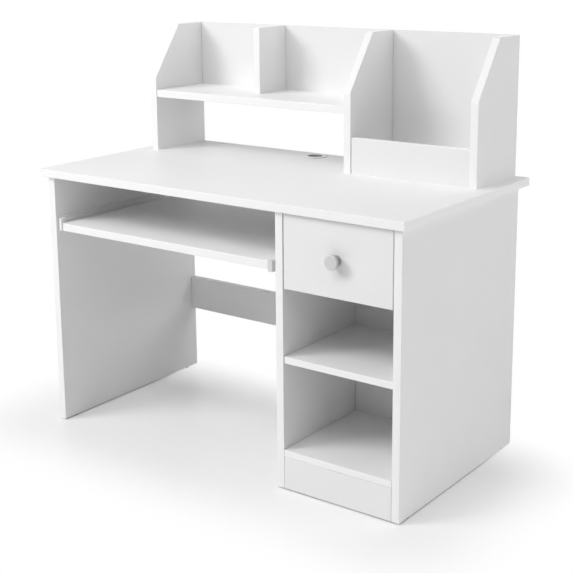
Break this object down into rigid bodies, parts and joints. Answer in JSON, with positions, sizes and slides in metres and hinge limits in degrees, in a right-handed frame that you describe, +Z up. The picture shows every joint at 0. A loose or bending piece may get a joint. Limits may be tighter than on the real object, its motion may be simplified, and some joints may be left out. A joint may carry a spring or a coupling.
{
  "type": "student desk with hutch",
  "caption": "White student desk with a hutch of open bays, a drawer over open cubbies, a sliding keyboard tray on roller runners and a cable grommet.",
  "frame": {"origin": "on the floor under the middle of the desktop", "axes": "+X to the right as seen from the front, +Y to the back, +Z up"},
  "size_m": [1.2, 0.666, 1.128],
  "materials": {
    "white_board": "satin white laminate on particle board",
    "thin_white_board": "white faced hardboard",
    "satin_knob": "satin light grey",
    "white_plastic": "moulded white",
    "grey_plastic": "moulded light grey",
    "dark_plastic": "moulded black",
    "nylon": "natural nylon",
    "coated_steel": "white powder coat",
    "zinc_steel": "zinc plated",
    "beech": "plain beech"
  },
  "bodies": {
    "desk": {"desktop": "white_board", "left_side_panel": "white_board", "centre_panel": "white_board", "right_side_panel": "white_board", "modesty_board": "white_board", "pedestal_shelf": "white_board", "pedestal_floor": "white_board", "plinth_board": "white_board", "pedestal_back_panel": "white_board", "hutch_left_panel": "white_board", "hutch_partition": "white_board", "hutch_right_panel": "white_board", "hutch_shelf": "white_board", "hutch_divider": "white_board", "hutch_lip": "white_board", "hutch_back_left": "thin_white_board", "hutch_back_right": "thin_white_board", "cable_grommet": "white_plastic", "floor_glides": "dark_plastic", "tray_channel_left": "coated_steel", "tray_channel_right": "coated_steel", "drawer_channel_left": "coated_steel", "drawer_channel_right": "coated_steel", "channel_axles": "zinc_steel", "channel_screws": "zinc_steel", "cam_locks": "zinc_steel", "cam_bolts": "zinc_steel", "hutch_screws": "zinc_steel", "back_panel_pins": "zinc_steel", "desk_dowels": "beech", "hutch_dowels": "beech"},
    "drawer": {"drawer_front": "white_board", "drawer_left_side": "white_board", "drawer_right_side": "white_board", "drawer_back": "white_board", "drawer_bottom": "thin_white_board", "drawer_knob": "satin_knob", "knob_screw": "zinc_steel", "drawer_rail_left": "coated_steel", "drawer_rail_right": "coated_steel", "drawer_rail_axles": "zinc_steel", "drawer_rail_screws": "zinc_steel", "drawer_dowels": "beech", "drawer_back_screws": "zinc_steel"},
    "tray": {"keyboard_tray": "white_board", "tray_end_cap_left": "white_plastic", "tray_end_cap_right": "grey_plastic", "tray_rail_left": "coated_steel", "tray_rail_right": "coated_steel", "tray_rail_axles": "zinc_steel", "tray_rail_screws": "zinc_steel"},
    "tray_front_roller_left": {"tray_front_roller_left": "nylon"},
    "tray_front_roller_right": {"tray_front_roller_right": "nylon"},
    "tray_rear_roller_left": {"tray_rear_roller_left": "nylon"},
    "tray_rear_roller_right": {"tray_rear_roller_right": "nylon"},
    "drawer_front_roller_left": {"drawer_front_roller_left": "nylon"},
    "drawer_front_roller_right": {"drawer_front_roller_right": "nylon"},
    "drawer_rear_roller_left": {"drawer_rear_roller_left": "nylon"},
    "drawer_rear_roller_right": {"drawer_rear_roller_right": "nylon"}
  },
  "joints": [
    {"name": "drawer_slide", "type": "slide", "parent": "desk", "child": "drawer", "axis": [0, -1, 0], "range_m": [0, 0.24]},
    {"name": "tray_slide", "type": "slide", "parent": "desk", "child": "tray", "axis": [0, -1, 0], "range_m": [0, 0.28]},
    {"name": "tray_front_roller_left_spin", "type": "hinge", "parent": "desk", "child": "tray_front_roller_left", "pos_m": [-0.54675, -0.279, 0.5987], "axis": [1, 0, 0], "range_deg": [-5, 1800]},
    {"name": "tray_front_roller_right_spin", "type": "hinge", "parent": "desk", "child": "tray_front_roller_right", "pos_m": [0.21975, -0.279, 0.5987], "axis": [1, 0, 0], "range_deg": [-5, 1800]},
    {"name": "tray_rear_roller_left_spin", "type": "hinge", "parent": "tray", "child": "tray_rear_roller_left", "pos_m": [-0.54675, 0.122, 0.5987], "axis": [1, 0, 0], "range_deg": [-5, 1800]},
    {"name": "tray_rear_roller_right_spin", "type": "hinge", "parent": "tray", "child": "tray_rear_roller_right", "pos_m": [0.21975, 0.122, 0.5987], "axis": [1, 0, 0], "range_deg": [-5, 1800]},
    {"name": "drawer_front_roller_left_spin", "type": "hinge", "parent": "desk", "child": "drawer_front_roller_left", "pos_m": [0.25425, -0.278, 0.5617], "axis": [1, 0, 0], "range_deg": [-5, 1540]},
    {"name": "drawer_front_roller_right_spin", "type": "hinge", "parent": "desk", "child": "drawer_front_roller_right", "pos_m": [0.56175, -0.278, 0.5617], "axis": [1, 0, 0], "range_deg": [-5, 1540]},
    {"name": "drawer_rear_roller_left_spin", "type": "hinge", "parent": "drawer", "child": "drawer_rear_roller_left", "pos_m": [0.25425, -0.012, 0.5617], "axis": [1, 0, 0], "range_deg": [-5, 1540]},
    {"name": "drawer_rear_roller_right_spin", "type": "hinge", "parent": "drawer", "child": "drawer_rear_roller_right", "pos_m": [0.56175, -0.012, 0.5617], "axis": [1, 0, 0], "range_deg": [-5, 1540]}
  ],
  "couplings": [
    {"joint": "tray_front_roller_left_spin", "follows": "tray_slide", "rad_per_m": 111.11},
    {"joint": "tray_front_roller_right_spin", "follows": "tray_slide", "rad_per_m": 111.11},
    {"joint": "tray_rear_roller_left_spin", "follows": "tray_slide", "rad_per_m": 111.11},
    {"joint": "tray_rear_roller_right_spin", "follows": "tray_slide", "rad_per_m": 111.11},
    {"joint": "drawer_front_roller_left_spin", "follows": "drawer_slide", "rad_per_m": 111.11},
    {"joint": "drawer_front_roller_right_spin", "follows": "drawer_slide", "rad_per_m": 111.11},
    {"joint": "drawer_rear_roller_left_spin", "follows": "drawer_slide", "rad_per_m": 111.11},
    {"joint": "drawer_rear_roller_right_spin", "follows": "drawer_slide", "rad_per_m": 111.11}
  ]
}
